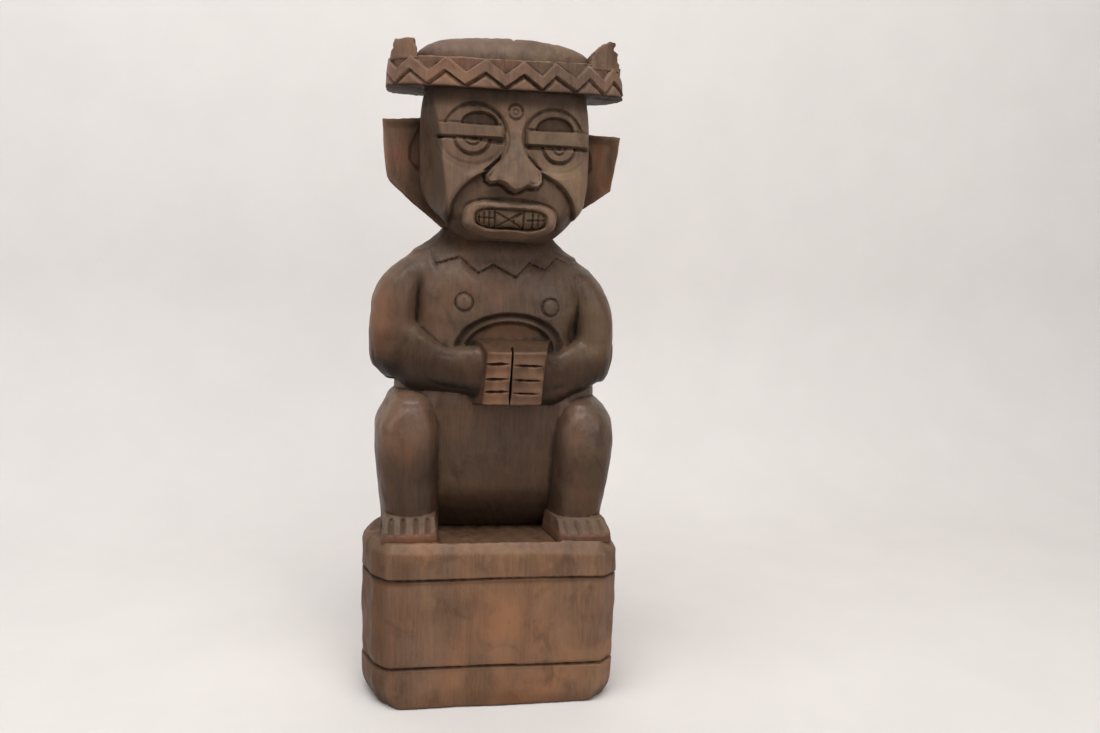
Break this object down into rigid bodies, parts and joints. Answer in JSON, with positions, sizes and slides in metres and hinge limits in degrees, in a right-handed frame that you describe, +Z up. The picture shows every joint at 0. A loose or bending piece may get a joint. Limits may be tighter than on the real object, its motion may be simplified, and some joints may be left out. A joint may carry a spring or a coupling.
{
  "type": "carved tiki figure",
  "caption": "Carved dark wood tiki: a seated figure with a zigzag-banded flat hat, flared ears, bared teeth and clasped hands, on a chamfered block plinth.",
  "frame": {"origin": "middle of the plinth's underside, at the middle of the whole figure's width and depth", "axes": "+Z up along the figure; the figure faces -Y; +X is to the right as a viewer faces it, which is the figure's own left"},
  "size_m": [0.1494, 0.081, 0.3783],
  "materials": {
    "plinth_wood": "dark reddish brown, worn and smudged, faint satin",
    "body_wood": "dark brown, fine upright grain, satin where handled",
    "worn_wood": "lighter orange brown, worn by handling",
    "face_wood": "grey brown, matt, tool marks in the recesses",
    "recess_wood": "dark brown, left rough in the cuts",
    "hat_wood": "dark brown, matt, worn edges"
  },
  "bodies": {
    "root": {"plinth": "plinth_wood", "torso": "body_wood", "collar": "body_wood", "rib_arch": "body_wood", "left_nipple": "body_wood", "right_nipple": "body_wood", "left_upper_arm": "body_wood", "right_upper_arm": "body_wood", "left_forearm": "body_wood", "right_forearm": "body_wood", "left_hand": "worn_wood", "right_hand": "worn_wood", "left_leg": "body_wood", "right_leg": "body_wood", "left_foot": "plinth_wood", "right_foot": "plinth_wood", "head": "face_wood", "nose": "face_wood", "lip_ring": "face_wood", "teeth": "recess_wood", "left_eye": "face_wood", "right_eye": "face_wood", "left_eyelid": "face_wood", "right_eyelid": "face_wood", "left_brow": "face_wood", "right_brow": "face_wood", "forehead_boss": "face_wood", "left_ear": "face_wood", "right_ear": "face_wood", "hat_brim": "hat_wood", "hat_zigzag_band": "hat_wood", "hat_crown": "hat_wood", "hat_left_lug": "hat_wood", "hat_right_lug": "hat_wood"}
  },
  "joints": []
}
